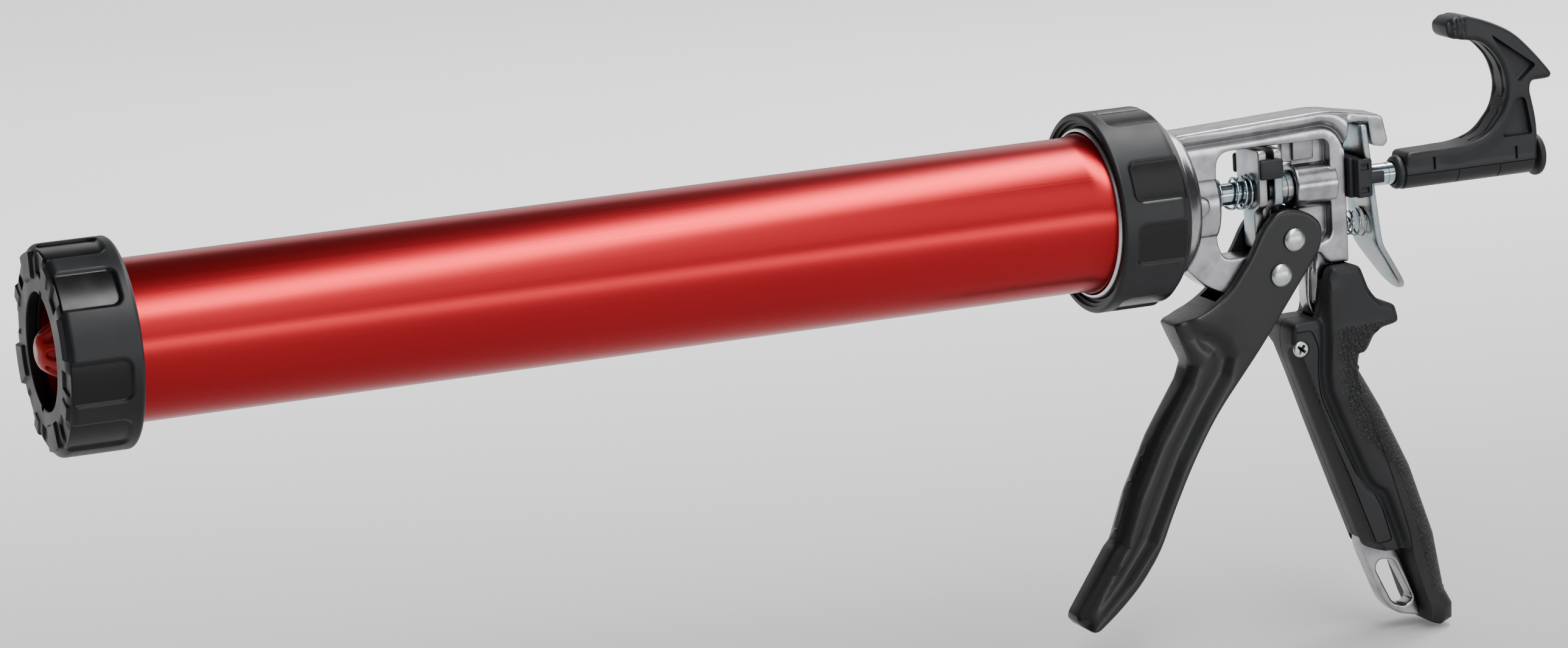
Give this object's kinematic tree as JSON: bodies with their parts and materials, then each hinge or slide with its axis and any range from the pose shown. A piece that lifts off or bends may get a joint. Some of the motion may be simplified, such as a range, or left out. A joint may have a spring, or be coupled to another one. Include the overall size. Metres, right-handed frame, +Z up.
{
  "type": "caulking gun",
  "caption": "Tube-barrel caulking gun for sausage packs: screw cap, rotating barrel, plunger rod with pull hook, squeeze trigger, drive plates and release lever.",
  "frame": {"origin": "middle of the lowest level, below the barrel axis, halfway along the gun", "axes": "+X along the barrel from the muzzle to the pull hook, +Z up with the handle hanging down, +Y to the user's right"},
  "size_m": [0.5552, 0.0698, 0.22],
  "materials": {
    "red_anodised": "satin red anodised",
    "black_plastic": "fine matte moulded",
    "grip_plastic": "fine matte moulded",
    "grip_rubber": "leather-like grain",
    "black_rubber": "smooth",
    "black_paint": "satin black paint",
    "polished_casting": "bright tumbled die casting",
    "zinc_plate": "zinc plated",
    "plated_rod": "bright plated",
    "rivet_steel": "satin domed",
    "red_plastic": "semi-gloss moulded"
  },
  "bodies": {
    "frame": {"frame_casting": "polished_casting", "grip_shell_left": "grip_plastic", "grip_shell_right": "grip_plastic", "grip_screw": "plated_rod", "grip_backstrap": "grip_rubber", "rod_bush": "zinc_plate", "release_guide": "black_plastic", "pivot_rivet": "rivet_steel", "thrust_washer": "black_plastic", "main_spring": "plated_rod", "release_spring": "plated_rod"},
    "barrel": {"barrel_tube": "red_anodised"},
    "cap_seal": {"nozzle_washer": "black_rubber"},
    "cap": {"front_cap": "black_plastic"},
    "collar_ring": {"slip_ring": "zinc_plate"},
    "collar": {"rear_collar": "black_plastic"},
    "trigger": {"trigger": "black_paint", "drive_rivet": "rivet_steel"},
    "drive_plates": {"drive_plate_front": "zinc_plate", "drive_plate_rear": "zinc_plate", "plate_clip": "black_plastic"},
    "piston": {"plunger_nose": "red_plastic", "piston_seal": "black_rubber", "piston_washer": "zinc_plate", "piston_nut": "zinc_plate"},
    "rod": {"push_rod": "plated_rod", "hook_ring": "black_plastic", "pull_hook": "black_plastic", "hook_cover": "black_plastic", "rod_end_disc": "black_plastic"},
    "release": {"release_lever": "zinc_plate"}
  },
  "joints": [
    {"name": "barrel_spin", "type": "hinge", "parent": "frame", "child": "barrel", "pos_m": [0.11239, 0, 0.16603], "axis": [1, 0, 0], "continuous": true},
    {"name": "cap_travel", "type": "slide", "parent": "barrel", "child": "cap_seal", "axis": [-1, 0, 0], "range_m": [0, 0.009]},
    {"name": "cap_turn", "type": "hinge", "parent": "cap_seal", "child": "cap", "pos_m": [-0.27561, 0, 0.16603], "axis": [-1, 0, 0], "range_deg": [0, 1080]},
    {"name": "collar_travel", "type": "slide", "parent": "frame", "child": "collar_ring", "axis": [-1, 0, 0], "range_m": [0, 0.009]},
    {"name": "collar_turn", "type": "hinge", "parent": "collar_ring", "child": "collar", "pos_m": [0.11439, 0, 0.16603], "axis": [-1, 0, 0], "range_deg": [0, 1080]},
    {"name": "trigger_pull", "type": "hinge", "parent": "frame", "child": "trigger", "pos_m": [0.16539, 0, 0.13673], "axis": [0, -1, 0], "range_deg": [0, 21], "stiffness_Nm_per_rad": 1.5, "springref_deg": -11.46},
    {"name": "plates_drive", "type": "slide", "parent": "frame", "child": "drive_plates", "axis": [-1, 0, 0], "range_m": [0, 0.0048], "deforming": ["main_spring"]},
    {"name": "rod_slide", "type": "slide", "parent": "frame", "child": "piston", "axis": [1, 0, 0], "range_m": [0, 0.335]},
    {"name": "rod_spin", "type": "hinge", "parent": "piston", "child": "rod", "pos_m": [0.02439, 0, 0.16603], "axis": [1, 0, 0], "continuous": true},
    {"name": "release_press", "type": "hinge", "parent": "frame", "child": "release", "pos_m": [0.19969, 0, 0.18503], "axis": [0, 1, 0], "range_deg": [0, 4.5], "stiffness_Nm_per_rad": 0.6, "springref_deg": -5.73, "deforming": ["release_spring"]}
  ],
  "couplings": [
    {"joint": "cap_travel", "follows": "cap_turn", "m_per_rad": 0.00047746},
    {"joint": "collar_travel", "follows": "collar_turn", "m_per_rad": 0.00047746},
    {"joint": "plates_drive", "follows": "trigger_pull", "m_per_rad": 0.0127}
  ]
}
